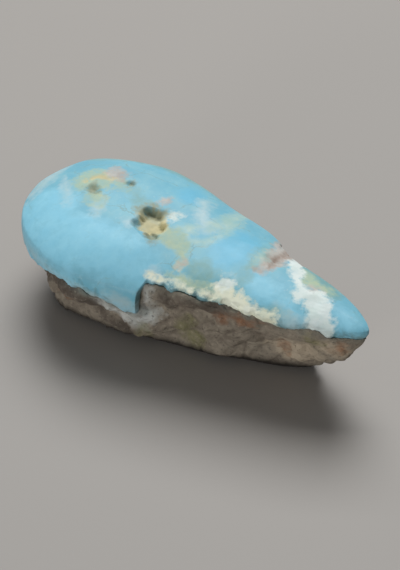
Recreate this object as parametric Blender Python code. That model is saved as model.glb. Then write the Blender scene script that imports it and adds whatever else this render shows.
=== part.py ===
"""A teardrop turquoise nugget: blue stone ground to a low dome, over rough brown rock with a flat base.

The stone lies on its base. +X runs along it to the tip, +Y to its back and +Z up, with the origin
under the middle of its bounding box. Sizes are in millimetres until the mesh is made, in metres.

The surface is a grid. Around the stone, turn runs from 0 at the tip over the back to 0.5 at the round
end, and over the front to 1. Up the stone, level is 0 at the base's edge, 1 at the widest ring and 2
along the middle of the dome.
"""

import bmesh
import bpy
import numpy as np

METRES = 0.001

# The stone seen from above, at its widest ring
LENGTH = 22.8
WIDTH = 10.4
WIDEST_AT = 0.27  # share of the length, from the round end
TAPER_POWER = 1.3
TIP_POWER = 0.70
BACK_HOLLOW = 0.4  # how far the back is drawn in between its middle and the tip
BACK_HOLLOW_AT = (5.1, 3.3)  # middle and half length

# Heights of that ring at its two ends, and of the dome over it
GIRDLE_BACK = 4.85
GIRDLE_TIP = 5.45
CROWN_HEIGHT = 1.65
CROWN_POWER = 2.5
SHOULDER_POWER = 0.75
DOME_CENTRE = -4.8

# The flat base, smaller than the stone all round and further back under the tip
BASE_BACK = -9.3
BASE_TIP = 7.2
BASE_FRONT = 0.62  # share of the stone's own half width
BASE_REAR = 0.74
BASE_SHIFT = 0.7  # how far its tip end lies towards +Y
BASE_WANDER = 0.08
BULGE_BACK = 2.1
BULGE_TIP = 1.5

# The line along the stone's middle that the grid closes on, and the core that lumps stand out from
SPINE_BACK = -7.8
SPINE_TIP = 8.3
BASE_SPINE_INSET = 1.4
CORE_BACK = -6.6
CORE_TIP = 7.6
CORE_HEIGHT = 3.2

# Where the blue stone ends and the rough rock under it starts: place along X and level
EDGE_FRONT = (
    (-11.4, 0.90), (-8.0, 0.95), (-6.3, 0.93), (-3.8, 0.77), (-2.2, 0.66), (-1.30, 0.60),
    (-1.05, 1.30), (0.8, 1.36), (2.0, 1.25), (4.0, 1.33), (4.7, 1.25), (6.0, 1.18), (6.7, 1.05),
    (8.4, 1.18), (9.5, 0.98), (11.4, 0.84),
)
EDGE_BACK = (
    (-11.4, 0.90), (-8.2, 0.80), (-3.1, 0.68), (0.5, 0.74), (3.2, 0.86), (3.6, 1.22), (5.5, 1.24),
    (5.9, 0.98), (11.4, 0.84),
)
EDGE_WANDER = 0.035
LEDGE = 0.3  # how far the rock lies in behind the blue
TIP_LEDGE = 0.12
TIP_STARTS = (7.0, 10.0)
LEDGE_CALM = 0.6  # share of the rock's lumps that is lost right under the blue's edge
LEDGE_CALM_REACH = 0.3

# Where the flank broke away, and how far towards a straight line from its foot to its head
BREAK_LEAN = 0.6
BREAK_HEAD = 1.33
BREAK_STARTS = (-3.2, 0.3)
BREAK_ENDS = (6.0, 9.5)
NOTCH_STARTS = (2.4, 3.6)
NOTCH_ENDS = (5.3, 6.5)

# Hollows in the dome where soft rock fell out: place, half sizes, turn in degrees, depth
PITS = {
    "large": (-2.9, -0.55, 1.05, 1.2, 25.0, 0.55),
    "round": (-7.3, 0.05, 0.65, 0.5, -20.0, 0.28),
    "pinhole": (-5.7, 1.4, 0.36, 0.3, 0.0, 0.3),
    "back": (4.6, 1.2, 0.7, 0.9, -15.0, 0.3),
    "band": (8.1, -0.45, 0.75, 0.5, -35.0, 0.16),
}
PIT_WALL = 0.5  # share of a pit's radius over which its side slopes
PIT_WANDER = 0.16

# Lumps: height, spacing and seed of each layer
GROUND_LUMPS = ((0.10, 7.0, 3), (0.03, 2.6, 8))
ROCK_LUMPS = ((0.17, 3.6, 21), (0.09, 1.7, 34))
BASE_BLEND = 1.1  # height over which ledge and lumps fade out towards the flat base

# The grid, with its columns crowded where the blue's edge steps up or down
AROUND = 132
BASE_ROWS = 2
ROCK_ROWS = 12
BLUE_ROWS = 23
STEP_PLACES = (-1.17, 3.4, 5.7)
STEP_REACH = 0.28
STEP_CROWDING = 5.0

# Levels at which the rows have a knee, along X. Only the rows between it and the edge follow a step
ROCK_KNEE_FRONT = ((-11.4, 0.62), (-5.0, 0.58), (-1.2, 0.50), (1.5, 0.88), (6.0, 0.75), (11.4, 0.58))
ROCK_KNEE_BACK = ((-11.4, 0.62), (-3.0, 0.48), (3.2, 0.58), (4.5, 0.75), (6.0, 0.64), (11.4, 0.58))
ROCK_KNEE_ROW = 0.7  # share of the rows
BLUE_KNEE = ((-11.4, 1.30), (-1.2, 1.45), (11.4, 1.40))
BLUE_KNEE_ROW = 0.5

TURQUOISE = (0.27, 0.60, 0.76, 1.0)
TURQUOISE_ROUGHNESS = 0.35


def smooth_step(low, high, value):
    """0 below low, 1 above high, and a smooth S between."""
    t = np.clip((value - low) / (high - low), 0.0, 1.0)
    return t * t * (3.0 - 2.0 * t)


def crossing_waves(points, spacing, seed, count):
    """The phase at each point of count plane waves, whose directions and pitch come from the seed."""
    rng = np.random.default_rng(seed)
    directions = rng.normal(size=(count, 3))
    directions /= np.linalg.norm(directions, axis=1, keepdims=True)
    pitch = 2.0 * np.pi / spacing * rng.uniform(0.6, 1.5, (count, 1))
    return points @ (directions * pitch).T + rng.uniform(0.0, 2.0 * np.pi, count)


def waves(points, spacing, seed):
    """Smooth noise about 1 high: a sum of sine waves."""
    return np.sin(crossing_waves(points, spacing, seed, 16)).sum(axis=-1) / np.sqrt(32.0)


def facets(points, spacing, seed):
    """Angular noise about 1 high: a sum of a few triangle waves, so it is flat between sharp creases."""
    phases = crossing_waves(points, spacing, seed, 5)
    return (np.arcsin(np.sin(phases)) * 2.0 / np.pi).sum(axis=-1) / np.sqrt(5.0)


def half_width(x):
    """Half the width at x: a quarter ellipse to the widest place, then a power curve to the tip."""
    share = np.clip(x / LENGTH + 0.5, 0.0, 1.0)
    round_end = np.sqrt(np.clip(1.0 - ((WIDEST_AT - share) / WIDEST_AT) ** 2, 0.0, 1.0))
    ahead = np.clip((share - WIDEST_AT) / (1.0 - WIDEST_AT), 0.0, 1.0)
    taper = (1.0 - ahead**TAPER_POWER) ** TIP_POWER
    return WIDTH / 2.0 * np.where(share < WIDEST_AT, round_end, taper)


def outline(turn):
    """The widest ring seen from above, at even steps along its length."""
    angle = np.linspace(0.0, 2.0 * np.pi, 4001)
    x = LENGTH / 2.0 * np.cos(angle)
    y = half_width(x) * np.sign(np.sin(angle))
    run = np.concatenate([[0.0], np.cumsum(np.hypot(np.diff(x), np.diff(y)))])
    x, y = np.interp(turn * run[-1], run, x), np.interp(turn * run[-1], run, y)
    middle, reach = BACK_HOLLOW_AT
    hollow = BACK_HOLLOW * (1.0 - smooth_step(0.0, reach, np.abs(x - middle)))
    return x, np.where(y > 0.0, y - np.minimum(hollow, 0.3 * y), y)


def dome_share(x, y):
    """How far a point is from the dome's middle, as a share of the way from there to the outline."""
    edge_x, edge_y = outline(np.arange(2000) / 2000.0)
    bearing = np.mod(np.arctan2(edge_y, edge_x - DOME_CENTRE), 2.0 * np.pi)
    reach = np.hypot(edge_x - DOME_CENTRE, edge_y)
    order = np.argsort(bearing)
    here = np.mod(np.arctan2(y, x - DOME_CENTRE), 2.0 * np.pi)
    limit = np.interp(here, bearing[order], reach[order], period=2.0 * np.pi)
    return np.clip(np.hypot(x - DOME_CENTRE, y) / limit, 0.0, 1.0)


def girdle_height(x):
    return GIRDLE_BACK + (GIRDLE_TIP - GIRDLE_BACK) * (x / LENGTH + 0.5)


def dome_height(x, y):
    rise = (1.0 - dome_share(x, y) ** CROWN_POWER) ** SHOULDER_POWER
    return girdle_height(x) + CROWN_HEIGHT * rise


def base_edge(turn):
    """The edge of the flat base, which wanders a little."""
    x, y = outline(turn)
    share = x / LENGTH + 0.5
    wander = BASE_WANDER * waves(np.stack([x, y, 0.0 * x], axis=-1), 5.0, 5)
    base_x = BASE_BACK + share * (BASE_TIP - BASE_BACK)
    base_y = BASE_SHIFT * share + y * np.where(y < 0.0, BASE_FRONT, BASE_REAR)
    outward = np.stack([base_x - np.clip(base_x, CORE_BACK, CORE_TIP), base_y], axis=-1)
    outward /= np.linalg.norm(outward, axis=-1, keepdims=True)
    return base_x + outward[..., 0] * wander, base_y + outward[..., 1] * wander


def ground_shape(turn, level):
    """The shape that grinding gave: a bulging flank up to level 1, and the dome from there to level 2."""
    x, y = outline(turn)
    base_x, base_y = base_edge(turn)
    share = x / LENGTH + 0.5
    up = np.clip(level, 0.0, 1.0)
    reach = 1.0 - (1.0 - up) ** (BULGE_BACK + (BULGE_TIP - BULGE_BACK) * share)
    flank = [base_x + (x - base_x) * reach, base_y + (y - base_y) * reach, girdle_height(x) * up]
    out = np.cos((np.clip(level, 1.0, 2.0) - 1.0) * np.pi / 2.0)
    spine_x = SPINE_BACK + share * (SPINE_TIP - SPINE_BACK)
    dome_x = spine_x + (x - spine_x) * out
    dome = [dome_x, y * out, dome_height(dome_x, y * out)]
    return np.where((level < 1.0)[..., None], np.stack(flank, axis=-1), np.stack(dome, axis=-1))


def outward_from_core(points):
    """Unit vectors away from the line along the stone's middle."""
    core = np.zeros_like(points)
    core[..., 0] = np.clip(points[..., 0], CORE_BACK, CORE_TIP)
    core[..., 2] = CORE_HEIGHT
    outward = points - core
    return outward / np.linalg.norm(outward, axis=-1, keepdims=True)


def layered(noise, points, layers):
    return sum(height * noise(points, spacing, seed) for height, spacing, seed in layers)


def along(turn, front, back):
    """A level that is given along X, for the front and for the back."""
    x, y = outline(turn)
    return np.where(y < 0.0, np.interp(x, *zip(*front)), np.interp(x, *zip(*back)))


def edge_level(turn):
    """The level at which the blue ends, scalloped by noise."""
    x, y = outline(turn)
    place = np.stack([x, y, 0.0 * x], axis=-1)
    scallops = EDGE_WANDER * (waves(place, 1.7, 55) + waves(place, 4.0, 56))
    return along(turn, EDGE_FRONT, EDGE_BACK) + scallops


def blue_surface(turn, level):
    ground = ground_shape(turn, level)
    return ground + outward_from_core(ground) * layered(waves, ground, GROUND_LUMPS)[..., None]


def broken_share(points):
    """How far the rock leans in from the ground shape, 0 to 1: along the front, and in the back's notch."""
    x = points[..., 0]
    front = smooth_step(*BREAK_STARTS, x) * (1.0 - smooth_step(*BREAK_ENDS, x))
    back = smooth_step(*NOTCH_STARTS, x) * (1.0 - smooth_step(*NOTCH_ENDS, x))
    return BREAK_LEAN * np.where(points[..., 1] < 0.0, front, back)


def rock_surface(turn, level):
    """Rough rock from the base's edge up to just behind the blue's edge.

    It follows the ground shape. Where the flank broke away it leans from there towards a straight line
    that runs up to the dome.
    """
    followed = ground_shape(turn, level)
    foot = ground_shape(turn, 0.0 * level)
    head = ground_shape(turn, BREAK_HEAD + 0.0 * level)
    height = np.clip(followed[..., 2] / head[..., 2], 0.0, 1.0)
    straight = foot + (head - foot) * height[..., None]
    rock = followed + (straight - followed) * broken_share(followed)[..., None]
    towards_tip = smooth_step(*TIP_STARTS, rock[..., 0])
    off_base = smooth_step(0.0, BASE_BLEND, rock[..., 2])
    inset = (LEDGE + (TIP_LEDGE - LEDGE) * towards_tip) * off_base
    calmed = 1.0 - LEDGE_CALM * smooth_step(-LEDGE_CALM_REACH, 0.0, level - edge_level(turn))
    rough = layered(facets, rock, ROCK_LUMPS) * off_base * calmed
    return rock + outward_from_core(rock) * (rough - inset)[..., None]


def sink_pits(points):
    """Lowers the dome inside each pit, whose rim wanders and whose side slopes to a flat floor."""
    x, y, z = points[..., 0], points[..., 1], points[..., 2]
    rim_wander = PIT_WANDER * waves(points, 1.3, 71)
    depth = np.zeros_like(x)
    for place_x, place_y, half_x, half_y, turned, deep in PITS.values():
        c, s = np.cos(np.radians(turned)), np.sin(np.radians(turned))
        along = ((x - place_x) * c + (y - place_y) * s) / half_x
        across = (-(x - place_x) * s + (y - place_y) * c) / half_y
        rim = np.hypot(along, across) + rim_wander
        depth = np.maximum(depth, deep * (1.0 - smooth_step(1.0 - PIT_WALL, 1.0, rim)))
    return np.stack([x, y, z - depth * (z > girdle_height(x))], axis=-1)


def column_turns():
    """The turn of each column of the grid, closer together where the blue's edge steps."""
    turn = np.linspace(0.0, 1.0, 4001)
    x = outline(turn)[0]
    crowding = sum(np.exp(-(((x - place) / STEP_REACH) ** 2)) for place in STEP_PLACES)
    density = 1.0 + STEP_CROWDING * crowding
    run = np.concatenate([[0.0], np.cumsum((density[1:] + density[:-1]) / 2.0)])
    return np.interp(np.arange(AROUND) / AROUND * run[-1], run, turn)


def kneed(count, start, knee, end, knee_row):
    """Levels of count rows: evenly from start to the knee, then evenly from there to end."""
    row = np.linspace(0.0, 1.0, count)[:, None]
    below = np.clip(row / knee_row, 0.0, 1.0)
    above = np.clip((row - knee_row) / (1.0 - knee_row), 0.0, 1.0)
    return start + (knee - start) * below + (end - knee) * above


def stone_rings():
    """Every ring of points: out across the base, up the rock and over the blue to the dome's middle."""
    turn = column_turns()
    share = outline(turn)[0] / LENGTH + 0.5
    base_x, base_y = base_edge(turn)
    inner_x = BASE_BACK + BASE_SPINE_INSET + share * (BASE_TIP - BASE_BACK - 2.0 * BASE_SPINE_INSET)
    inner_y = BASE_SHIFT * share
    base = []
    for row in range(BASE_ROWS):
        out = row / BASE_ROWS
        across = [inner_x + (base_x - inner_x) * out, inner_y + (base_y - inner_y) * out, 0.0 * share]
        base.append(np.stack(across, axis=-1))
    edge = edge_level(turn)
    rock_knee = along(turn, ROCK_KNEE_FRONT, ROCK_KNEE_BACK)
    rock_level = kneed(ROCK_ROWS, 0.0, rock_knee, edge, ROCK_KNEE_ROW)
    rock = rock_surface(turn + 0.0 * rock_level, rock_level)
    blue_level = kneed(BLUE_ROWS, edge, along(turn, BLUE_KNEE, BLUE_KNEE), 2.0, BLUE_KNEE_ROW)
    blue = sink_pits(blue_surface(turn + 0.0 * blue_level, blue_level))
    return np.concatenate([np.array(base), rock, blue])


def centred(points):
    """The points with the middle of their bounding box over the origin and its bottom at zero."""
    low = points.reshape(-1, 3).min(axis=0)
    high = points.reshape(-1, 3).max(axis=0)
    middle = (low + high) / 2.0
    return points - np.array([middle[0], middle[1], low[2]])


def stone_mesh(points):
    """Joins the rings by quads. The first and last ring lie on a line, where their two sides merge."""
    around = points.shape[1]
    made = bmesh.new()
    grid = [[made.verts.new(point * METRES) for point in ring] for ring in points]
    for low, high in zip(grid[:-1], grid[1:]):
        for j in range(around):
            k = (j + 1) % around
            made.faces.new((low[j], low[k], high[k], high[j]))
    bmesh.ops.remove_doubles(made, verts=made.verts, dist=0.001 * METRES)
    bmesh.ops.recalc_face_normals(made, faces=made.faces)
    mesh = bpy.data.meshes.new("turquoise_nugget")
    made.to_mesh(mesh)
    made.free()
    mesh.shade_smooth()
    return mesh


def turquoise():
    """Polished sky blue stone."""
    material = bpy.data.materials.new("turquoise")
    material.use_nodes = True
    shader = material.node_tree.nodes["Principled BSDF"]
    shader.inputs["Base Color"].default_value = TURQUOISE
    shader.inputs["Roughness"].default_value = TURQUOISE_ROUGHNESS
    shader.inputs["Metallic"].default_value = 0.0
    return material


def main():
    for thing in list(bpy.data.objects):
        bpy.data.objects.remove(thing, do_unlink=True)
    nugget = bpy.data.objects.new("nugget", stone_mesh(centred(stone_rings())))
    nugget.data.materials.append(turquoise())
    bpy.context.scene.collection.objects.link(nugget)


main()
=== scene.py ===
"""The looks of a turquoise nugget, 22.8 mm long, on a pale floor in soft light."""

import itertools
from math import radians

import bpy
import numpy as np
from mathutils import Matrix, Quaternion, Vector


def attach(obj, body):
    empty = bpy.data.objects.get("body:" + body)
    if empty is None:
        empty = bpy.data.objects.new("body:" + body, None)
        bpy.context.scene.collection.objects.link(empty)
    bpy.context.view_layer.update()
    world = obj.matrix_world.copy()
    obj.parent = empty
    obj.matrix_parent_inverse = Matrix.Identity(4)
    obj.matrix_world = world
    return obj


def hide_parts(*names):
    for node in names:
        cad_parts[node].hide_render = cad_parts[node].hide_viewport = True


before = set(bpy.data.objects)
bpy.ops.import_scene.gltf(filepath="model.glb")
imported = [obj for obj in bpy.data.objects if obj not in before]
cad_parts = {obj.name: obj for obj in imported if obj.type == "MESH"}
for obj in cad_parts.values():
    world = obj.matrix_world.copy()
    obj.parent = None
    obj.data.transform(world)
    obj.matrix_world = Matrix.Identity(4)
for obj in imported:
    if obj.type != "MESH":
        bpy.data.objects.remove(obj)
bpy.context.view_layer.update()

# The nugget is one stone as it grew: blue turquoise that filled a seam in brown rock. Its top was ground to a
# low dome and softly polished, its flank was left as it broke, and its base was ground flat. The softer
# cream, tan and green mineral in it lies a little lower than the blue, and left pits where it fell out.

METRES = 0.001  # the nugget's sizes are in millimetres, and its mesh is in metres

# The outline, seen from above at the widest ring
LENGTH = 22.8
WIDTH = 10.4
WIDEST_AT = 0.27  # share of the length, from the round end
TAPER_POWER = 1.3
TIP_POWER = 0.70
BACK_HOLLOW = 0.4
BACK_HOLLOW_AT = (5.1, 3.3)  # middle and half length
BACK_HOLLOW_LIMIT = 0.3  # share of the half width that it takes at most
OUTLINE_POINTS = 4001


def smooth_step(low, high, value):
    """0 below low, 1 above high, and a smooth S between."""
    t = np.clip((value - low) / (high - low), 0.0, 1.0)
    return t * t * (3.0 - 2.0 * t)


def outline(turn):
    """The widest ring: a quarter ellipse at the round end, a power curve to the tip, and a hollow behind.

    The turn runs evenly along it. It is 0 at the tip, grows along the back, and is 0.5 at the round end.
    """
    angle = np.linspace(0.0, 2.0 * np.pi, OUTLINE_POINTS)
    x = LENGTH / 2.0 * np.cos(angle)
    share = x / LENGTH + 0.5
    round_end = np.sqrt(np.clip(1.0 - ((WIDEST_AT - share) / WIDEST_AT) ** 2, 0.0, 1.0))
    ahead = np.clip((share - WIDEST_AT) / (1.0 - WIDEST_AT), 0.0, 1.0)
    taper = (1.0 - ahead**TAPER_POWER) ** TIP_POWER
    y = WIDTH / 2.0 * np.where(share < WIDEST_AT, round_end, taper) * np.sign(np.sin(angle))
    run = np.concatenate([[0.0], np.cumsum(np.hypot(np.diff(x), np.diff(y)))])
    x, y = np.interp(turn * run[-1], run, x), np.interp(turn * run[-1], run, y)
    middle, reach = BACK_HOLLOW_AT
    hollow = BACK_HOLLOW * (1.0 - smooth_step(0.0, reach, np.abs(x - middle)))
    return x, np.where(y > 0.0, y - np.minimum(hollow, BACK_HOLLOW_LIMIT * y), y)


# The dome over that ring
GIRDLE_BACK = 4.85  # the ring's height at the round end
GIRDLE_TIP = 5.45
CROWN_HEIGHT = 1.65
CROWN_POWER = 2.5
SHOULDER_POWER = 0.75
DOME_CENTRE = -4.8
DOME_BEARINGS = 2000


def girdle_height(x):
    """The widest ring's height, which rises evenly from the round end to the tip."""
    return GIRDLE_BACK + (GIRDLE_TIP - GIRDLE_BACK) * (x / LENGTH + 0.5)


def dome_height(x, y):
    """The widest ring's height and a crown on it, which falls by a power of the way out from its middle."""
    edge_x, edge_y = outline(np.arange(DOME_BEARINGS) / DOME_BEARINGS)
    bearing = np.mod(np.arctan2(edge_y, edge_x - DOME_CENTRE), 2.0 * np.pi)
    order = np.argsort(bearing)
    here = np.mod(np.arctan2(y, x - DOME_CENTRE), 2.0 * np.pi)
    reach = np.hypot(edge_x - DOME_CENTRE, edge_y)[order]
    limit = np.interp(here, bearing[order], reach, period=2.0 * np.pi)
    out = np.clip(np.hypot(x - DOME_CENTRE, y) / limit, 0.0, 1.0)
    return girdle_height(x) + CROWN_HEIGHT * (1.0 - out**CROWN_POWER) ** SHOULDER_POWER


# Lumps in the stone, as noise from plane waves that cross each other
SINE_WAVES = 16
TRIANGLE_WAVES = 5
PITCH_SPREAD = (0.6, 1.5)


def crossing_waves(points, spacing, seed, count):
    """The phase at each point of count plane waves, whose directions and pitch come from the seed."""
    rng = np.random.default_rng(seed)
    directions = rng.normal(size=(count, 3))
    directions /= np.linalg.norm(directions, axis=1, keepdims=True)
    pitch = 2.0 * np.pi / spacing * rng.uniform(*PITCH_SPREAD, (count, 1))
    return points @ (directions * pitch).T + rng.uniform(0.0, 2.0 * np.pi, count)


def waves(points, spacing, seed):
    """Smooth noise about 1 high: a sum of sine waves."""
    phases = crossing_waves(points, spacing, seed, SINE_WAVES)
    return np.sin(phases).sum(axis=-1) / np.sqrt(2.0 * SINE_WAVES)


def facets(points, spacing, seed):
    """Angular noise about 1 high: a sum of a few triangle waves, so it is flat between sharp creases."""
    phases = crossing_waves(points, spacing, seed, TRIANGLE_WAVES)
    return (np.arcsin(np.sin(phases)) * 2.0 / np.pi).sum(axis=-1) / np.sqrt(TRIANGLE_WAVES)


def layered(noise, points, layers):
    """The sum of a few layers of one kind of noise. A layer has its height, spacing and seed."""
    return sum(height * noise(points, spacing, seed) for height, spacing, seed in layers)


# The grains of the rock
GRAIN_TABLE = 24


def grains(points, spacing, seed):
    """Distances, in spacings, from each point to the nearest grain centre and to the next one.

    Each cell of a cubic lattice holds one grain centre at a random place. The 27 cells around are searched.
    """
    centres = np.random.default_rng(seed).random((GRAIN_TABLE, GRAIN_TABLE, GRAIN_TABLE, 3))
    scaled = points / spacing
    cell = np.floor(scaled).astype(int)
    nearest = np.full(points.shape[:-1], np.inf)
    second = nearest.copy()
    for step in itertools.product((-1, 0, 1), repeat=3):
        there = cell + step
        i, j, k = np.moveaxis(np.mod(there, GRAIN_TABLE), -1, 0)
        away = np.linalg.norm(there + centres[i, j, k] - scaled, axis=-1)
        second = np.minimum(second, np.maximum(nearest, away))
        nearest = np.minimum(nearest, away)
    return nearest, second


def rounded_grains(points, spacing, seed):
    """Grains as rounded bumps: 1 at their middles, less the square of the way out."""
    nearest = grains(points, spacing, seed)[0]
    return 1.0 - np.clip(nearest, 0.0, 1.0) ** 2


def cracks(points, spacing, width, seed):
    """1 along the lines where two grains meet, and 0 from width of a spacing away."""
    nearest, second = grains(points, spacing, seed)
    return 1.0 - smooth_step(0.0, width, second - nearest)


# The flat base, smaller than the stone all round and further back under the tip
BASE_BACK = -9.3
BASE_TIP = 7.2
BASE_FRONT = 0.67  # share of the stone's own half width
BASE_REAR = 0.74
BASE_SHIFT = 0.7  # how far its tip end lies towards +Y
BASE_WANDER = ((0.08, 5.0, 5),)
BASE_CORNER = 0.5  # how far it reaches further forward near the round end
BASE_CORNER_AT = (-7.6, 3.2)  # middle and half length
BASE_CORNER_FULL = 2.5  # how far in front of the middle line that reach is whole
BASE_SPINE_INSET = 1.4

# The line along the stone's middle that its lumps point away from
CORE_BACK = -6.6
CORE_TIP = 7.6
CORE_HEIGHT = 3.2


def base_edge(turn):
    """The edge of the flat base: the outline shrunk and shifted, with a corner, which wanders a little."""
    x, y = outline(turn)
    share = x / LENGTH + 0.5
    wander = layered(waves, np.stack([x, y, np.zeros_like(x)], axis=-1), BASE_WANDER)
    base_x = BASE_BACK + share * (BASE_TIP - BASE_BACK)
    base_y = BASE_SHIFT * share + y * np.where(y < 0.0, BASE_FRONT, BASE_REAR)
    middle, reach = BASE_CORNER_AT
    corner = BASE_CORNER * (1.0 - smooth_step(0.0, reach, np.abs(base_x - middle)))
    base_y = base_y - corner * smooth_step(0.0, BASE_CORNER_FULL, -y)
    outward = np.stack([base_x - np.clip(base_x, CORE_BACK, CORE_TIP), base_y], axis=-1)
    outward /= np.linalg.norm(outward, axis=-1, keepdims=True)
    return base_x + outward[..., 0] * wander, base_y + outward[..., 1] * wander


# The shape that grinding gave
BULGE_BACK = 2.1
BULGE_TIP = 1.5
SPINE_BACK = -7.8
SPINE_TIP = 8.3


def ground_shape(turn, level):
    """A flank that bulges by a power of the way up to level 1, and the dome from there in to level 2."""
    x, y = outline(turn)
    base_x, base_y = base_edge(turn)
    share = x / LENGTH + 0.5
    up = np.clip(level, 0.0, 1.0)
    reach = 1.0 - (1.0 - up) ** (BULGE_BACK + (BULGE_TIP - BULGE_BACK) * share)
    flank = [base_x + (x - base_x) * reach, base_y + (y - base_y) * reach, girdle_height(x) * up]
    out = np.cos((np.clip(level, 1.0, 2.0) - 1.0) * np.pi / 2.0)
    spine_x = SPINE_BACK + share * (SPINE_TIP - SPINE_BACK)
    dome_x = spine_x + (x - spine_x) * out
    dome = [dome_x, y * out, dome_height(dome_x, y * out)]
    return np.where((level < 1.0)[..., None], np.stack(flank, axis=-1), np.stack(dome, axis=-1))


# The edge between flank and dome is worn round
EDGE_WEAR = 0.15  # levels over which the mean is taken, to either side
EDGE_WEAR_REACH = 0.45
WEAR_STEPS = np.linspace(-1.0, 1.0, 7)


def worn_shape(turn, level):
    """The ground shape's mean over a span of levels around each one, a span that is widest at level 1."""
    span = EDGE_WEAR * (1.0 - smooth_step(0.0, EDGE_WEAR_REACH, np.abs(level - 1.0)))
    return sum(ground_shape(turn, level + span * step) for step in WEAR_STEPS) / len(WEAR_STEPS)


def outward_from_core(points):
    """Unit vectors away from the nearest place on the line along the stone's middle."""
    core = np.zeros_like(points)
    core[..., 0] = np.clip(points[..., 0], CORE_BACK, CORE_TIP)
    core[..., 2] = CORE_HEIGHT
    outward = points - core
    return outward / np.linalg.norm(outward, axis=-1, keepdims=True)


# Where the blue stone ends and the rough rock under it starts: place along X and level
EDGE_FRONT = (
    (-11.4, 0.66), (-9.6, 0.68), (-8.0, 0.77), (-6.3, 0.84), (-3.8, 0.75), (-2.2, 0.66), (-1.30, 0.60),
    (-1.05, 1.30), (0.8, 1.36), (2.0, 1.25), (4.0, 1.33), (4.7, 1.25), (6.0, 1.18), (6.7, 1.05),
    (8.4, 1.18), (9.5, 0.98), (11.4, 0.84),
)
EDGE_BACK = (
    (-11.4, 0.66), (-8.2, 0.80), (-3.1, 0.68), (0.5, 0.74), (3.2, 0.86), (3.6, 1.22), (5.5, 1.24),
    (5.9, 0.98), (11.4, 0.84),
)
EDGE_SCALLOPS = ((0.035, 1.7, 55), (0.035, 4.0, 56))
EDGE_CHIPS = ((0.024, 0.75, 57), (0.012, 0.32, 58))


def along(turn, front, back):
    """A level given at places along X, for the front and for the back, and straight between them."""
    x, y = outline(turn)
    return np.where(y < 0.0, np.interp(x, *zip(*front)), np.interp(x, *zip(*back)))


def edge_level(turn):
    """The level at which the blue ends, scalloped by smooth noise and chipped by angular noise."""
    x, y = outline(turn)
    place = np.stack([x, y, np.zeros_like(x)], axis=-1)
    uneven = layered(waves, place, EDGE_SCALLOPS) + layered(facets, place, EDGE_CHIPS)
    return along(turn, EDGE_FRONT, EDGE_BACK) + uneven


# The rock: how far it lies in behind the blue and where it broke away
LEDGE = 0.3
LEDGE_UNEVEN = ((0.8, 1.5, 63),)  # in shares of the ledge
LEDGE_LIMITS = (0.2, 1.6)  # the least and the most of the ledge that is left
LEDGE_CALM = 0.6  # share of the rock's lumps that is lost right under the blue's edge
LEDGE_CALM_REACH = 0.3
TIP_LEDGE = 0.12
TIP_STARTS = (7.0, 10.0)
BREAK_LEAN = 0.6  # how far towards a straight line from the flank's foot to its head
BREAK_HEAD = 1.33
BREAK_STARTS = (-3.2, 0.3)
BREAK_ENDS = (6.0, 9.5)
NOTCH_STARTS = (2.4, 3.6)
NOTCH_ENDS = (5.3, 6.5)
ROUND_LEAN = 0.5  # the same at the round end, on its front side
ROUND_LEAN_ENDS = (-8.6, -4.6)
ROUND_LEAN_SIDE = (-2.0, 1.5)  # along Y, towards the back
FOOT_TUCK = 0.18  # how far the rock draws in where it meets the flat base
FOOT_RISE = 0.4

# The rock's lumps, facets, grains and cracks
ROCK_LUMPS = ((0.17, 3.6, 21), (0.09, 1.7, 34))
ROCK_FACETS = ((0.05, 0.8, 41), (0.022, 0.38, 42))
ROCK_GRAINS = ((0.07, 0.62, 51), (0.035, 0.3, 52))
CRACK_DEPTH = 0.12
CRACKS = (2.1, 0.07, 61)  # spacing, width and seed
CRACK_WANDER = ((0.2, 1.2, 62),)
BASE_BLEND = 1.1  # height over which ledge and lumps fade out towards the flat base
GRAIN_BLEND = 0.35


def broken_share(points):
    """The rock's lean in from the ground shape, 0 to 1: in front, at the round end and in the notch."""
    x, y = points[..., 0], points[..., 1]
    front = smooth_step(*BREAK_STARTS, x) * (1.0 - smooth_step(*BREAK_ENDS, x))
    back = smooth_step(*NOTCH_STARTS, x) * (1.0 - smooth_step(*NOTCH_ENDS, x))
    round_end = (1.0 - smooth_step(*ROUND_LEAN_ENDS, x)) * (1.0 - smooth_step(*ROUND_LEAN_SIDE, y))
    return ROUND_LEAN * round_end + BREAK_LEAN * np.where(y < 0.0, front, back)


def rock_surface(turn, level):
    """The worn shape, leant towards a straight line where it broke, set in behind the blue and roughened."""
    followed = worn_shape(turn, level)
    foot = ground_shape(turn, np.zeros_like(level))
    head = ground_shape(turn, np.full_like(level, BREAK_HEAD))
    height = np.clip(followed[..., 2] / head[..., 2], 0.0, 1.0)
    straight = foot + (head - foot) * height[..., None]
    rock = followed + (straight - followed) * broken_share(followed)[..., None]
    off_base = smooth_step(0.0, BASE_BLEND, rock[..., 2])
    uneven = np.clip(1.0 + layered(waves, rock, LEDGE_UNEVEN), *LEDGE_LIMITS)
    inset = (LEDGE + (TIP_LEDGE - LEDGE) * smooth_step(*TIP_STARTS, rock[..., 0])) * off_base * uneven
    calmed = 1.0 - LEDGE_CALM * smooth_step(-LEDGE_CALM_REACH, 0.0, level - edge_level(turn))
    rough = layered(facets, rock, ROCK_LUMPS) * off_base * calmed
    fine = layered(facets, rock, ROCK_FACETS) + layered(rounded_grains, rock, ROCK_GRAINS)
    fine -= CRACK_DEPTH * cracks(rock + layered(facets, rock, CRACK_WANDER)[..., None], *CRACKS)
    fine *= smooth_step(0.0, GRAIN_BLEND, rock[..., 2])
    outward = outward_from_core(rock)
    made = rock + outward * (rough + fine - inset)[..., None]
    tuck = FOOT_TUCK * (1.0 - smooth_step(0.0, FOOT_RISE, rock[..., 2]))
    made[..., :2] -= outward[..., :2] * tuck[..., None]
    return made


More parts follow.
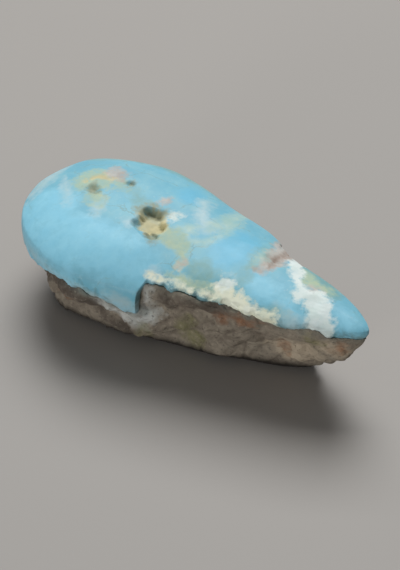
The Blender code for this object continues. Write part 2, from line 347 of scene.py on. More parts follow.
# The mineral in the dome, as it shows from above: shades of the blue and the softer kinds, and painted light:
# lighter blue on the dome's front slopes, front rim and tip side, and a painted highlight along the round
# end's rim. A spot is a place, two half sizes and a turn in degrees. A streak is a path of places, each with
# half its width there.
MINERAL_AND_PAINTED_LIGHT = {
    # Mostly painted light: lighter blue on the front slopes, the front rim and the tip side, with a few
    # brighter blue patches
    "bright_and_lit": {
        "spots": (
            (7.2, -1.5, 0.95, 0.45, -15), (-5.0, -3.3, 4.4, 1.5, 0), (-8.8, -1.9, 1.6, 1.4, -30),
            (9.9, -0.3, 0.9, 0.55, -20), (4.9, -1.1, 1.1, 0.75, 0),
        ),
        "streaks": (((-10.7, -2.2, 0.4), (-9.3, -3.5, 0.5), (-7.5, -4.4, 0.5), (-5.5, -4.8, 0.5)),),
    },
    "vivid": {
        "spots": ((2.1, 0.5, 1.15, 1.7, 0), (-2.6, 2.9, 0.8, 0.8, 0)),
        "streaks": (),
    },
    "teal": {
        "spots": (
            (1.6, -2.1, 1.0, 0.85, 0), (-4.6, 0.7, 0.8, 0.4, -30), (6.2, -2.1, 0.6, 0.2, 20),
            (3.6, 0.2, 0.3, 1.6, 8),
        ),
        "streaks": (
            ((5.9, 2.3, 0.4), (6.9, 1.6, 0.9), (8.2, 1.0, 0.7)),
            ((-9.6, 3.2, 0.3), (-8.4, 4.2, 0.6), (-6.6, 4.8, 0.5), (-4.0, 4.9, 0.4), (-1.0, 4.6, 0.3)),
        ),
    },
    "pale": {
        "spots": (
            (-8.9, -0.5, 0.9, 0.28, -50), (-6.3, -1.0, 0.7, 0.3, -60), (-3.95, -1.2, 0.35, 0.3, 0),
            # The spot at -10.8 along the round end's rim is a painted highlight; the other pale spots are
            # pale mineral
            (-0.7, -3.35, 0.5, 0.3, 0), (3.15, -1.75, 0.3, 0.35, 0), (-10.8, 0.4, 0.5, 1.7, 0),
            (-0.1, 1.05, 0.6, 0.45, 10), (7.6, -2.0, 0.9, 0.3, -15),
        ),
        "streaks": (((-1.6, 3.0, 0.4), (-1.3, 1.9, 0.35), (-0.3, 1.05, 0.5)),),
    },
    "mint": {
        "spots": ((0.9, -2.95, 0.7, 0.3, 0), (4.0, 0.9, 0.5, 0.9, 0), (-0.9, 0.2, 0.5, 0.35, 40)),
        "streaks": (
            ((-0.1, 1.3, 0.3), (0.45, 2.2, 0.5), (0.35, 3.2, 0.45), (0.1, 4.4, 0.35)),
            ((-1.0, -0.5, 0.25), (0.4, -0.3, 0.2), (0.9, 0.9, 0.2), (0.8, 2.4, 0.25)),
        ),
    },
    "green": {
        "spots": ((-7.8, 0.8, 1.15, 1.0, 30), (-6.9, -0.4, 0.75, 0.5, -30), (-6.4, 1.3, 0.6, 0.4, -20)),
        "streaks": (
            ((-2.2, -0.8, 0.6), (-1.2, -0.9, 0.6), (-0.5, -1.15, 0.5), (0.0, -1.6, 0.3), (0.3, -2.3, 0.2)),
            ((0.1, -3.0, 0.1), (1.0, -3.05, 0.15), (2.6, -2.75, 0.3), (3.3, -2.5, 0.5)),
            ((6.2, 1.5, 0.3), (7.0, 0.9, 0.5), (8.0, 0.9, 0.35)),
        ),
    },
    "pink": {
        "spots": ((-7.05, 1.9, 0.7, 0.6, -20), (-3.3, 1.35, 0.35, 0.3, 60), (7.5, 0.45, 0.5, 0.4, 0)),
        "streaks": (
            ((4.3, -0.15, 0.3), (4.4, 0.8, 0.55), (4.3, 1.8, 0.65), (4.0, 3.2, 0.8)),
            ((0.15, -1.8, 0.14), (0.3, -2.35, 0.1)),
        ),
    },
    "brown": {
        "spots": (),
        "streaks": (((4.1, 3.0, 0.16), (4.5, 2.2, 0.14), (4.3, 1.0, 0.1), (4.6, 0.3, 0.06)),),
    },
    "cream": {
        "spots": (),
        "streaks": (
            ((3.1, -1.75, 0.16), (3.15, -2.3, 0.5), (4.0, -2.5, 0.6), (5.0, -2.55, 0.4), (6.6, -2.35, 0.25)),
            ((-1.05, -3.6, 0.16), (0.3, -3.35, 0.08), (1.6, -3.2, 0.04), (2.9, -2.8, 0.2)),
        ),
    },
    "white": {
        "spots": ((-2.15, 0.62, 0.5, 0.32, 60), (7.05, -0.4, 0.5, 0.36, -10), (3.1, -1.9, 0.4, 0.35, 30)),
        "streaks": (
            ((7.9, 0.15, 0.45), (8.4, -0.6, 0.8), (8.9, -1.15, 0.85), (9.2, -1.8, 0.7)),
            ((5.0, 2.9, 0.25), (5.45, 1.7, 0.42), (5.95, 0.85, 0.34), (6.6, 0.2, 0.3), (7.4, -0.2, 0.45)),
        ),
    },
    "tan": {
        "spots": ((-2.95, -0.4, 1.05, 0.85, -35),),
        "streaks": (((-8.3, 0.5, 0.12), (-7.9, 1.1, 0.16), (-7.0, 1.45, 0.12)),),
    },
    "olive": {
        "spots": (
            (-7.35, 0.12, 0.42, 0.34, -35), (-2.2, -1.45, 0.42, 0.36, -30), (-5.85, 1.65, 0.24, 0.22, 0),
        ),
        "streaks": (((-4.05, 0.0, 0.3), (-3.45, 0.35, 0.42), (-2.7, 0.6, 0.28)),),
    },
}
PATCH_REACH = 0.35  # distance inside or outside a patch's edge at which its share is 1 or 0
PATCH_WANDER = ((0.13, 1.1), (0.07, 0.45), (0.035, 0.2))  # sideways shift and spacing of each layer
MINERAL_SEED = 200


def wandered(points, seed):
    """The points shifted along each axis by layers of noise, so that patches read there get uneven edges."""
    shift = np.zeros_like(points)
    for layer, (amount, spacing) in enumerate(PATCH_WANDER):
        for axis in range(3):
            shift[..., axis] += amount * waves(points, spacing, seed + 10 * layer + axis)
    return points + shift


def way_out(x, y, middle_x, middle_y, half_x, half_y, turned):
    """The way out from a turned ellipse's middle at each point, as a share that is 1 at its rim."""
    c, s = np.cos(np.radians(turned)), np.sin(np.radians(turned))
    lengthwise = ((x - middle_x) * c + (y - middle_y) * s) / half_x
    across = ((y - middle_y) * c - (x - middle_x) * s) / half_y
    return np.hypot(lengthwise, across)


def spot_depth(flat, spot):
    """How deep inside an ellipse each point lies: the rest of the way out, times the smaller half size."""
    half_sizes = spot[2:4]
    return (1.0 - way_out(flat[..., 0], flat[..., 1], *spot)) * min(half_sizes)


def streak_depth(flat, streak):
    """How deep inside a band each point lies: half the band's width less the distance to its path."""
    deepest = np.full(flat.shape[:-1], -np.inf)
    for (ax, ay, half_a), (bx, by, half_b) in zip(streak[:-1], streak[1:]):
        run = np.array([bx - ax, by - ay])
        share = np.clip(((flat - (ax, ay)) @ run) / (run @ run), 0.0, 1.0)
        away = np.linalg.norm(flat - (ax, ay) - share[..., None] * run, axis=-1)
        deepest = np.maximum(deepest, half_a + (half_b - half_a) * share - away)
    return deepest


def share_of(flat, patches):
    """1 well inside any of the patches, 0 well outside, and an even slope across their edges."""
    depths = [spot_depth(flat, spot) for spot in patches["spots"]]
    depths += [streak_depth(flat, streak) for streak in patches["streaks"]]
    return np.clip(0.5 + np.max(depths, axis=0) / (2.0 * PATCH_REACH), 0.0, 1.0)


# Stains in the flank, and painted shade where it lies under the blue, as it shows from the front: places are
# along X and in height
STAINS_AND_SHADE = {
    "sand": {
        "spots": ((7.1, 2.4, 1.7, 1.3, 20), (9.5, 3.7, 0.9, 0.9, 0)),
        "streaks": (),
    },
    "rust": {
        "spots": (
            (4.7, 4.7, 0.8, 0.45, 0), (9.9, 3.9, 0.3, 0.5, -20), (3.2, 4.4, 0.4, 0.3, 0),
            (-6.4, 2.2, 0.5, 0.4, 30),
        ),
        "streaks": (((6.7, 3.4, 0.1), (6.3, 2.4, 0.2), (6.4, 1.6, 0.1)),),
    },
    "moss": {
        "spots": ((1.1, 1.3, 0.75, 0.8, 20), (0.9, 2.4, 0.4, 0.7, 0), (8.6, 4.2, 0.4, 0.6, 0)),
        "streaks": (((1.3, 3.4, 0.2), (1.1, 2.0, 0.3)), ((-1.5, 1.8, 0.2), (-1.7, 0.6, 0.3))),
    },
    "slate": {
        "spots": ((-1.4, 2.9, 1.1, 0.75, 30), (-0.8, 4.9, 0.24, 0.65, 0)),
        "streaks": (((-3.6, 3.2, 0.5), (-2.6, 2.4, 0.6), (-1.8, 1.8, 0.4)),),
    },
    # Partly dark brown rock and partly painted shade: under the blue's ledge, a painted shadow line down the
    # step at -1.15, and a dark band along the round end's flank under the blue
    "umber_and_shade": {
        "spots": (
            (0.3, 4.7, 0.5, 0.7, 0), (2.4, 5.0, 1.3, 0.5, 0), (-3.0, 1.0, 1.1, 0.5, 0),
            (5.6, 0.4, 0.9, 0.3, 0),
        ),
        "streaks": (
            ((-8.8, 2.4, 0.8), (-7.6, 3.4, 0.8), (-6.0, 3.6, 0.6), (-4.2, 2.8, 0.5), (-3.9, 1.4, 0.4)),
            ((-1.15, 5.8, 0.12), (-1.15, 3.6, 0.12)),
        ),
    },
    "haze": {
        "spots": ((-2.0, 3.9, 1.2, 0.7, -35),),
        "streaks": (
            ((-10.6, 4.3, 0.3), (-8.0, 4.45, 0.3), (-6.0, 4.3, 0.3), (-4.0, 3.9, 0.35), (-2.6, 3.5, 0.3)),
        ),
    },
}
STAIN_SEED = 300

# Pits in the dome: an ellipse, as a spot is, its depth, and the share of the way out that its side takes
PITS = (
    (-2.9, -0.55, 1.05, 1.2, 25.0, 0.5, 0.45),
    (-7.3, 0.05, 0.65, 0.5, -20.0, 0.2, 0.7),
    (-5.8, 1.6, 0.3, 0.28, 0.0, 0.22, 0.6),
    (4.6, 1.2, 0.8, 1.0, -15.0, 0.24, 0.9),
    (8.1, -0.45, 0.85, 0.6, -35.0, 0.12, 0.95),
    (-2.25, -1.35, 0.45, 0.38, -30.0, 0.32, 0.6),
    (-3.5, 0.25, 0.5, 0.28, 30.0, 0.52, 0.5),
)
PIT_WANDER = ((0.18, 1.3, 71), (0.08, 0.6, 72), (0.06, 0.25, 73))
PIT_LUMPS = ((0.06, 0.5, 74), (0.03, 0.24, 75))
PIT_LUMPS_FULL = 0.25  # depth from which the lumps on a pit's floor are whole


def pit_depth(points):
    """The deepest pit at each point: flat but for small lumps, and a smooth step up to its ragged rim."""
    x, y, z = points[..., 0], points[..., 1], points[..., 2]
    ragged = layered(waves, points, PIT_WANDER)
    depth = np.zeros_like(x)
    for *ellipse, deep, wall in PITS:
        out = way_out(x, y, *ellipse) + ragged
        depth = np.maximum(depth, deep * (1.0 - smooth_step(1.0 - wall, 1.0, out)))
    lumps = layered(rounded_grains, points, PIT_LUMPS)
    return (depth - lumps * smooth_step(0.0, PIT_LUMPS_FULL, depth)) * (z > girdle_height(x))


# The polished surface: lumps that grinding left, small chips at its edge, and how far soft mineral lies lower
GROUND_LUMPS = ((0.10, 7.0, 3), (0.03, 2.6, 8))
POLISH_RIPPLE = ((0.006, 1.1, 81), (0.002, 0.45, 82))
RIM_RADIUS = 0.26
CHIP_DEPTH = 0.2
CHIP_REACH = 0.5
CHIP_SPACING = 0.8
CHIP_SEED = 83
CHIP_SLOPE = (0.2, 0.9)  # noise at which a chip starts and is at its depth
MINERAL_SUNK = {
    "white": 0.02, "cream": 0.03, "tan": 0.05, "olive": 0.06, "green": 0.02, "pink": 0.03, "brown": 0.04,
}
SUNK_SLOPE = (0.35, 0.65)  # shares of the mineral between which its surface sinks
MINERAL_GRAIN = ((0.03, 0.26, 84),)
MINERAL_GRAIN_FULL = 0.05  # how far the mineral has sunk where its grain is whole


def blue_surface(turn, level):
    """The worn shape, moved outwards by the lumps that grinding left."""
    ground = worn_shape(turn, level)
    return ground + outward_from_core(ground) * layered(waves, ground, GROUND_LUMPS)[..., None]


def finish_blue(points, climb, shares):
    """Rounds and chips the blue's lower rim, ripples its polish, and sinks its soft mineral and pits.

    The rim rounds by a quarter circle, a chip is angular noise above a threshold, the ripple is smooth noise,
    and each mineral sinks by a smooth step of its share.
    """
    from_rim = np.clip(climb / RIM_RADIUS, 0.0, 1.0)
    rounded = RIM_RADIUS * (1.0 - np.sqrt(1.0 - (1.0 - from_rim) ** 2))
    chipped = CHIP_DEPTH * smooth_step(*CHIP_SLOPE, facets(points, CHIP_SPACING, CHIP_SEED))
    chipped *= 1.0 - smooth_step(0.0, CHIP_REACH, climb)
    sunk = sum(deep * smooth_step(*SUNK_SLOPE, shares[name]) for name, deep in MINERAL_SUNK.items())
    grain = layered(rounded_grains, points, MINERAL_GRAIN) * np.clip(sunk / MINERAL_GRAIN_FULL, 0.0, 1.0)
    lift = layered(waves, points, POLISH_RIPPLE) + grain - rounded - chipped - sunk
    made = points + outward_from_core(points) * lift[..., None]
    made[..., 2] -= pit_depth(points)
    return made


# The grid: columns around the stone, crowded where the blue's edge steps, and rows up it. The rows are spaced
# evenly up to a knee, a level given along X, and evenly again above it.
AROUND = 500
BASE_ROWS = 8
ROCK_ROWS = 66
LIP_ROWS = 4
RIM_ROWS = 6
BLUE_ROWS = 110
RIM_LEVELS = 0.045
LIP_UNDERCUT = 0.05
STEP_PLACES = (-1.17, 3.4, 5.7)
STEP_REACH = 0.28
STEP_CROWDING = 3.0
STEP_SAMPLES = 8001
ROCK_KNEE_FRONT = ((-11.4, 0.48), (-5.0, 0.58), (-1.2, 0.50), (1.5, 0.88), (6.0, 0.75), (11.4, 0.58))
ROCK_KNEE_BACK = ((-11.4, 0.48), (-3.0, 0.48), (3.2, 0.58), (4.5, 0.75), (6.0, 0.64), (11.4, 0.58))
ROCK_KNEE_ROW = 0.7  # share of the rows that lie below the knee
BLUE_KNEE = ((-11.4, 1.30), (-1.2, 1.45), (11.4, 1.40))
BLUE_KNEE_ROW = 0.45
DOME_SPINE = 2.0  # the level at which the dome closes


def column_turns():
    """The turn of each column, from a density that is higher where the blue's edge steps."""
    turn = np.linspace(0.0, 1.0, STEP_SAMPLES)
    x = outline(turn)[0]
    crowding = sum(np.exp(-(((x - place) / STEP_REACH) ** 2)) for place in STEP_PLACES)
    density = 1.0 + STEP_CROWDING * crowding
    run = np.concatenate([[0.0], np.cumsum((density[1:] + density[:-1]) / 2.0)])
    return np.interp(np.arange(AROUND) / AROUND * run[-1], run, turn)


def kneed(count, start, knee, end, knee_row):
    """Levels of count rows: evenly from start to the knee, then evenly from there to end."""
    row = np.linspace(0.0, 1.0, count)[:, None]
    below = np.clip(row / knee_row, 0.0, 1.0)
    above = np.clip((row - knee_row) / (1.0 - knee_row), 0.0, 1.0)
    return start + (knee - start) * below + (end - knee) * above


def base_rings(turn):
    """Flat rings from a line along the base's middle out to just short of its edge."""
    share = outline(turn)[0] / LENGTH + 0.5
    base_x, base_y = base_edge(turn)
    inner_x = BASE_BACK + BASE_SPINE_INSET + share * (BASE_TIP - BASE_BACK - 2.0 * BASE_SPINE_INSET)
    inner_y = BASE_SHIFT * share
    out = (np.arange(BASE_ROWS) / BASE_ROWS)[:, None]
    ring_x = inner_x + (base_x - inner_x) * out
    ring_y = inner_y + (base_y - inner_y) * out
    return np.stack([ring_x, ring_y, np.zeros_like(ring_x)], axis=-1)


def lip_rings(under, rim):
    """The underside of the ledge: straight from the rock up to the blue's rim, hollowed by half a sine."""
    share = (np.arange(1, LIP_ROWS + 1) / (LIP_ROWS + 1.0))[:, None, None]
    straight = under + (rim - under) * share
    return straight - outward_from_core(straight) * LIP_UNDERCUT * np.sin(np.pi * share)


def way_along(rows):
    """The distance along each column from its first row."""
    steps = np.linalg.norm(np.diff(rows, axis=0), axis=-1)
    return np.concatenate([np.zeros((1, AROUND)), np.cumsum(steps, axis=0)])


turn = column_turns()
edge = edge_level(turn)
rock_level = kneed(ROCK_ROWS, 0.0, along(turn, ROCK_KNEE_FRONT, ROCK_KNEE_BACK), edge, ROCK_KNEE_ROW)
rim_level = edge + RIM_LEVELS * np.arange(RIM_ROWS)[:, None] / RIM_ROWS
blue_knee = along(turn, BLUE_KNEE, BLUE_KNEE)
blue_level = kneed(BLUE_ROWS, edge + RIM_LEVELS, blue_knee, DOME_SPINE, BLUE_KNEE_ROW)
blue_level = np.concatenate([rim_level, blue_level])
rock = rock_surface(*np.broadcast_arrays(turn, rock_level))
blue = blue_surface(*np.broadcast_arrays(turn, blue_level))

# The plain stone's middle comes over the origin, where the solid's is, and the finished stone moves with it
plain = np.concatenate([rock.reshape(-1, 3), blue.reshape(-1, 3)])
middle = (plain.min(axis=0) + plain.max(axis=0)) / 2.0
settle = np.array([middle[0], middle[1], 0.0])

seen = wandered(blue - settle, MINERAL_SEED)
shares = {name: share_of(seen[..., :2], patches) for name, patches in MINERAL_AND_PAINTED_LIGHT.items()}
climb = way_along(blue)
fine_blue = finish_blue(blue, climb, shares)
lip = lip_rings(rock[-1], fine_blue[0])
rings = np.concatenate([base_rings(turn), rock, lip, fine_blue]) - settle

# What the material reads at each point: the patches and stains, whether it is rock, and how many millimetres
# it lies up the blue from its rim or down the rock from its top
stained = wandered(rings, STAIN_SEED)[..., [0, 2]]
rows_below = len(rings) - len(fine_blue)
below = np.zeros((rows_below, AROUND))
masks = {name: np.concatenate([below, share]) for name, share in shares.items()}
masks.update({name: share_of(stained, patches) for name, patches in STAINS_AND_SHADE.items()})
masks["rock"] = np.ones(rings.shape[:2])
masks["rock"][rows_below - LIP_ROWS // 2:] = 0.0
masks["climb"] = np.concatenate([below, climb])
drop = way_along(rock[::-1])[::-1]
masks["drop"] = np.zeros(rings.shape[:2])
masks["drop"][BASE_ROWS:BASE_ROWS + ROCK_ROWS] = drop
masks["drop"][:BASE_ROWS] = drop[0]


def joined_rings(rings, masks):
    """A closed mesh of quads between the rings, whose first and last ring are folded flat onto a line.

    On those two rings a column and its mirror image across the line share one point. Each mask becomes a
    number on every point.
    """
    rows, around = rings.shape[:2]
    number = np.arange(rows * around).reshape(rows, around)
    column = np.arange(around)
    folded = np.minimum(column, around - column)
    number[0] = number[0, folded]
    number[-1] = number[-1, folded]
    low, high = number[:-1], number[1:]
    quads = np.stack([low, np.roll(low, -1, axis=1), np.roll(high, -1, axis=1), high], axis=-1)
    used, quads = np.unique(quads.reshape(-1, 4), return_inverse=True)
    mesh = bpy.data.meshes.new("nugget_stone")
    mesh.from_pydata((rings.reshape(-1, 3)[used] * METRES).tolist(), [], quads.reshape(-1, 4).tolist())
    for name, values in masks.items():
        attribute = mesh.attributes.new(name, "FLOAT", "POINT")
        attribute.data.foreach_set("value", values.reshape(-1)[used].astype(np.float32))
    mesh.shade_smooth()
    return mesh


stone = bpy.data.objects.new("nugget_stone", joined_rings(rings, masks))
bpy.context.scene.collection.objects.link(stone)


# The material: blue with its mineral laid over it, and the rock over both
def seen_as(red, green, blue_part):
    """Linear light for a colour as a screen shows it, in steps of 255."""
    shown = np.array([red, green, blue_part]) / 255.0
    linear = np.where(shown <= 0.04045, shown / 12.92, ((shown + 0.055) / 1.055) ** 2.4)
    return (*linear.tolist(), 1.0)


material = bpy.data.materials.new("turquoise_stone")
material.use_nodes = True
tree = material.node_tree
shader = tree.nodes["Principled BSDF"]


def node(kind, sockets, **settings):
    """Adds a node with its settings, and fills its sockets with numbers, colours or other nodes' outputs."""
    made = tree.nodes.new(kind)
    for name, value in settings.items():
        setattr(made, name, value)
    for place, value in sockets.items():
        if isinstance(value, bpy.types.NodeSocket):
            tree.links.new(value, made.inputs[place])
        else:
            made.inputs[place].default_value = value
    return made


def mixed(share, first, second):
    """The first colour with that share of the second over it."""
    return node("ShaderNodeMix", {0: share, 6: first, 7: second}, data_type="RGBA").outputs[2]


def combined(operation, first, second):
    """Two numbers added or multiplied, or the larger of them."""
    return node("ShaderNodeMath", {0: first, 1: second}, operation=operation).outputs["Value"]


def between(value, low, high, to_low=0.0, to_high=1.0):
    """The value rescaled, so that low gives to_low and high gives to_high, and kept within those."""
    sockets = {"Value": value, "From Min": low, "From Max": high, "To Min": to_low, "To Max": to_high}
    return node("ShaderNodeMapRange", sockets, clamp=True).outputs["Result"]


def mask_of(name):
    """The mask's number at each point of the mesh."""
    return node("ShaderNodeAttribute", {}, attribute_name=name).outputs["Fac"]


own_place = node("ShaderNodeTexCoord", {}).outputs["Object"]
in_mm = node("ShaderNodeMapping", {"Vector": own_place, "Scale": [1.0 / METRES] * 3}).outputs["Vector"]
NOISE_ROUGHNESS = 0.6
NOISE_RANGE = (0.3, 0.7)  # most of what the noise gives lies between these


def noise(per_mm, detail, offset):
    """Cloudy noise with that many lumps to the millimetre, and an offset that tells it from the next one."""
    sockets = {"Vector": in_mm, "W": offset, "Scale": per_mm, "Detail": detail, "Roughness": NOISE_ROUGHNESS}
    return node("ShaderNodeTexNoise", sockets, noise_dimensions="4D").outputs["Fac"]


edge_noise = noise(2.6, 6.0, 1.0)
cloud = noise(0.28, 5.0, 2.0)
mottle = noise(1.1, 6.0, 3.0)
speckle = noise(5.0, 4.0, 4.0)
grit = noise(9.0, 5.0, 5.0)
veil = noise(0.8, 6.0, 6.0)


def two_toned(clouds, low, high, first, second):
    """The first colour where the noise is low, the second where it is high, and a blend between."""
    return mixed(between(clouds, low, high), seen_as(*first), seen_as(*second))


def clouded(colour, layers):
    """Lays clouds over a colour. A layer is noise, where it starts and is whole, its most, and its colour."""
    for clouds, starts, whole, most, shown in layers:
        colour = mixed(between(clouds, starts, whole, 0.0, most), colour, seen_as(*shown))
    return colour


blue_colour = two_toned(cloud, 0.38, 0.62, (122, 188, 208), (132, 198, 216))
blue_colour = clouded(blue_colour, (
    (mottle, 0.45, 0.70, 0.60, (152, 204, 214)),
    (veil, 0.55, 0.42, 0.45, (112, 184, 208)),
    (speckle, 0.60, 0.72, 0.40, (190, 218, 220)),
))

# Over about a millimetre at their border the blue darkens to a grey teal, painted shade where it curves under
# towards the rock, and the blue tints the rock
BORDER = 0.9
BORDER_UNEVEN = (-0.4, 0.6)
BLUE_RIM_SHADE = (98, 118, 112)
BLUE_RIM_SHADE_MOST = 0.75
ROCK_AT_BORDER = (96, 104, 96)
ROCK_BORDER_MOST = 0.5


def near_border(name, most):
    """The most where the mask's distance is 0, down to 0 at the border's width, made uneven by noise."""
    distance = combined("ADD", mask_of(name), between(edge_noise, *NOISE_RANGE, *BORDER_UNEVEN))
    return between(distance, 0.0, BORDER, most, 0.0)


# painted shade: the blue is darkened towards its lower rim, where it curves under
blue_colour = mixed(near_border("climb", BLUE_RIM_SHADE_MOST), blue_colour, seen_as(*BLUE_RIM_SHADE))

# How a patch covers: the softness and raggedness of its edge, and its most
MASK_FOOT = 0.25  # the mask's share below which a ragged edge fades out
HAZE = (198, 212, 210)
HAZE_COVER = (0.50, 0.35, 0.60)


def ragged_share(name, softness, raggedness, most):
    """A mask whose edge is broken up by fine noise and as soft as asked, and which stays 0 where it was 0."""
    mask = mask_of(name)
    shifted = combined("ADD", mask, between(edge_noise, *NOISE_RANGE, -raggedness, raggedness))
    inside = between(shifted, 0.5 - softness, 0.5 + softness)
    share = combined("MULTIPLY", inside, between(mask, 0.0, MASK_FOOT))
    return combined("MULTIPLY", share, most)


blue_colour = mixed(ragged_share("haze", *HAZE_COVER), blue_colour, seen_as(*HAZE))

# Hairlines: the borders between warped cells, where the veil of noise lets them show
HAIRLINE = (128, 150, 138)
HAIRLINES_PER_MM = 0.42
HAIRLINE_WIDTH = 0.022
HAIRLINE_MOST = 0.5
HAIRLINE_VEIL = (0.46, 0.58)
WARPS_PER_MM = 0.9
warp_sockets = {"Vector": in_mm, "Scale": WARPS_PER_MM, "Detail": 4.0, "Roughness": NOISE_ROUGHNESS}
warp = node("ShaderNodeTexNoise", warp_sockets).outputs["Color"]
warped = node("ShaderNodeVectorMath", {0: in_mm, 1: warp}, operation="ADD").outputs["Vector"]
cell_sockets = {"Vector": warped, "Scale": HAIRLINES_PER_MM}
from_border = node("ShaderNodeTexVoronoi", cell_sockets, feature="DISTANCE_TO_EDGE").outputs["Distance"]
hairline = between(from_border, 0.0, HAIRLINE_WIDTH, 1.0, 0.0)
hairline = combined("MULTIPLY", hairline, between(veil, *HAIRLINE_VEIL, 0.0, HAIRLINE_MOST))
blue_colour = mixed(hairline, blue_colour, seen_as(*HAIRLINE))

# The mask of each mineral and painted-light patch, its two colours, the softness and raggedness of its edge,
# and its most
MINERAL_AND_LIGHT_COLOURS = (
    # painted light: lighter blue where the front slopes and tip side face the light
    ("bright_and_lit", (156, 220, 241), (144, 213, 237), 0.50, 0.30, 0.85),
    ("vivid", (118, 198, 228), (108, 190, 220), 0.50, 0.30, 0.85),
    ("teal", (126, 172, 170), (142, 182, 176), 0.50, 0.35, 0.85),
    # its spot along the round end's rim is a painted highlight
    ("pale", (196, 220, 224), (180, 212, 216), 0.50, 0.35, 0.80),
    ("mint", (190, 214, 200), (168, 202, 192), 0.50, 0.35, 0.80),
    ("green", (192, 206, 170), (172, 200, 182), 0.36, 0.38, 0.85),
    ("pink", (206, 199, 190), (188, 175, 164), 0.32, 0.38, 0.90),
    ("brown", (158, 124, 104), (138, 108, 92), 0.34, 0.30, 0.75),
    ("cream", (248, 250, 230), (240, 242, 216), 0.24, 0.32, 0.97),
    ("white", (236, 246, 242), (222, 236, 230), 0.24, 0.32, 0.95),
    ("tan", (220, 206, 156), (200, 189, 144), 0.24, 0.30, 0.90),
    ("olive", (150, 150, 118), (164, 164, 134), 0.30, 0.30, 0.85),
)
PATCH_MOTTLE = (0.4, 0.6)  # noise at which a patch has its first and its second colour
thinned = between(veil, 0.36, 0.52, 0.85, 1.0)  # every patch is a little thinner where the veil is low
softened = 0.0
for name, first, second, *cover in MINERAL_AND_LIGHT_COLOURS:
    share = combined("MULTIPLY", ragged_share(name, *cover), thinned)
    blue_colour = mixed(share, blue_colour, two_toned(mottle, *PATCH_MOTTLE, first, second))
    if name in MINERAL_SUNK:
        softened = combined("MAXIMUM", softened, share)

# The stains of the rock and its painted shade, given in the same way, over brown rock and under its dark and
# pale grains
ROCK_COLOURS = (
    ("sand", (202, 186, 162), (180, 164, 142), 0.50, 0.40, 0.80),
    ("slate", (210, 212, 207), (192, 195, 190), 0.50, 0.40, 0.85),
    ("moss", (122, 120, 82), (132, 128, 92), 0.50, 0.45, 0.80),
    ("rust", (152, 110, 80), (128, 92, 68), 0.50, 0.45, 0.85),
    ("haze", (124, 138, 134), (106, 120, 116), 0.50, 0.40, 0.60),
    # painted shade under the ledge, at the step and along the round end's flank, over some dark brown rock
    ("umber_and_shade", (88, 78, 70), (74, 65, 58), 0.48, 0.40, 0.80),
)
rock_colour = two_toned(cloud, 0.36, 0.64, (142, 131, 116), (122, 112, 99))
rock_colour = clouded(rock_colour, ((mottle, 0.42, 0.62, 1.0, (154, 144, 128)),))
rock_colour = mixed(near_border("drop", ROCK_BORDER_MOST), rock_colour, seen_as(*ROCK_AT_BORDER))
for name, first, second, *cover in ROCK_COLOURS:
    stain_colour = two_toned(mottle, *PATCH_MOTTLE, first, second)
    rock_colour = mixed(ragged_share(name, *cover), rock_colour, stain_colour)
rock_colour = clouded(rock_colour, (
    (speckle, 0.55, 0.68, 0.60, (66, 57, 49)),
    (speckle, 0.42, 0.32, 0.45, (176, 165, 146)),
))

# Painted shade darkens the rock towards the crease where it meets the flat base, a painted contact shadow
CONTACT_SHADE = (36, 31, 26)
CONTACT_SHADE_MOST = 0.95
CONTACT_SHADE_HEIGHTS = (0.3, 0.75)
height_in_mm = node("ShaderNodeSeparateXYZ", {"Vector": in_mm}).outputs["Z"]
# painted contact shadow: near black over the rock's lowest part, fading out upwards
rock_colour = mixed(between(height_in_mm, *CONTACT_SHADE_HEIGHTS, CONTACT_SHADE_MOST, 0.0), rock_colour, seen_as(*CONTACT_SHADE))
rock_share = mask_of("rock")
tree.links.new(mixed(rock_share, blue_colour, rock_colour), shader.inputs["Base Color"])

# How rough each kind of surface is to the light
POLISHED = 0.46
SOFT_MINERAL = 0.65
BROKEN_ROCK = 0.9
POLISH_UNEVEN = (-0.04, 0.06)
polish = between(softened, 0.0, 1.0, POLISHED, SOFT_MINERAL)
polish = combined("ADD", polish, between(mottle, *NOISE_RANGE, *POLISH_UNEVEN))
roughness = node("ShaderNodeMix", {0: rock_share, 2: polish, 3: BROKEN_ROCK}, data_type="FLOAT").outputs[0]
tree.links.new(roughness, shader.inputs["Roughness"])
shader.inputs["IOR"].default_value = 1.5
shader.inputs["Specular IOR Level"].default_value = 0.32

# Grit too fine for the mesh: whole on the rock, half on the soft mineral and none on the blue
GRIT_DEPTH = 0.00003  # in metres, as the bump reads it
gritty = combined("MAXIMUM", rock_share, combined("MULTIPLY", softened, 0.5))
grit_height = combined("MULTIPLY", grit, gritty)
bump = node("ShaderNodeBump", {"Strength": 1.0, "Distance": GRIT_DEPTH, "Height": grit_height})
tree.links.new(bump.outputs["Normal"], shader.inputs["Normal"])
stone.data.materials.append(material)

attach(stone, "root")
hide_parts("nugget")

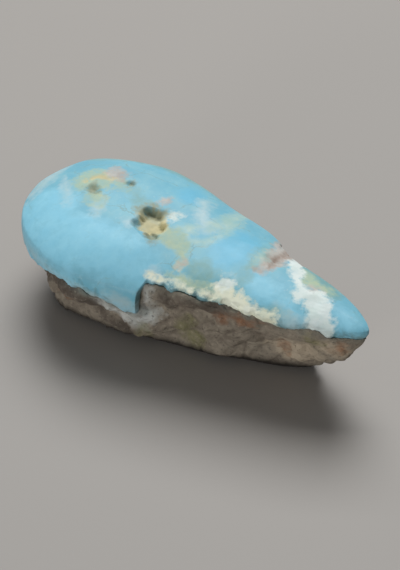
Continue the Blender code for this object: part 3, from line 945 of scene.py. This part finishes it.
# The floor is a plain pale sheet under the stone. It isn't part of the nugget, and its size is in metres.
FLOOR_HALF = 0.6
FLOOR_COLOUR = (152, 147, 141)
FLOOR_ROUGHNESS = 0.5
corners = [(x * FLOOR_HALF, y * FLOOR_HALF, 0.0) for x, y in ((-1, -1), (1, -1), (1, 1), (-1, 1))]
floor_mesh = bpy.data.meshes.new("floor")
floor_mesh.from_pydata(corners, [], [(0, 1, 2, 3)])
floor = bpy.data.objects.new("floor", floor_mesh)
bpy.context.scene.collection.objects.link(floor)
floor_paint = bpy.data.materials.new("floor_paint")
floor_paint.use_nodes = True
floor_shader = floor_paint.node_tree.nodes["Principled BSDF"]
floor_shader.inputs["Base Color"].default_value = seen_as(*FLOOR_COLOUR)
floor_shader.inputs["Roughness"].default_value = FLOOR_ROUGHNESS
floor_mesh.materials.append(floor_paint)

# The camera looks down on the stone's front and tip, from as far away as the photograph's did
CAMERA_PLACE = Vector((0.1131, -0.1595, 0.1868))
CAMERA_AIM = Vector((0.0, 0.0, 0.003))
CAMERA_LENS = 300.0  # millimetres, as the sensor's width is
CAMERA_SENSOR = 36.0
CAMERA_NEAREST = 0.01
CAMERA_ROLL = -0.77  # degrees
camera = bpy.data.objects.new("camera", bpy.data.cameras.new("camera"))
camera.data.lens = CAMERA_LENS
camera.data.sensor_width = CAMERA_SENSOR
camera.data.clip_start = CAMERA_NEAREST
camera.location = CAMERA_PLACE
roll = Quaternion((0.0, 0.0, 1.0), radians(CAMERA_ROLL))
camera.rotation_euler = ((CAMERA_AIM - CAMERA_PLACE).to_track_quat("-Z", "Y") @ roll).to_euler()
bpy.context.scene.collection.objects.link(camera)
bpy.context.scene.camera = camera

# One large soft light stands behind the stone and above it and a faint one in front of it, and the room's own
# light fills the shadows. A light is its name, its place, the length of its side and its power in watts.
LIGHTS = (
    ("key_light", (-0.125, 0.2, 0.295), 0.26, 1.35),
    ("front_light", (-0.02, -0.37, 0.055), 0.11, 0.46),
)
ROOM_COLOUR = (0.93, 0.96, 1.0, 1.0)
ROOM_STRENGTH = 0.2
for name, light_place, side, power in LIGHTS:
    lamp = bpy.data.lights.new(name, "AREA")
    lamp.size = side
    lamp.energy = power
    light = bpy.data.objects.new(name, lamp)
    light.location = light_place
    light.rotation_euler = (-Vector(light_place)).to_track_quat("-Z", "Y").to_euler()
    bpy.context.scene.collection.objects.link(light)
world = bpy.data.worlds.new("room")
world.use_nodes = True
background = world.node_tree.nodes["Background"]
background.inputs["Color"].default_value = ROOM_COLOUR
background.inputs["Strength"].default_value = ROOM_STRENGTH
bpy.context.scene.world = world
bpy.context.scene.view_settings.view_transform = "Standard"
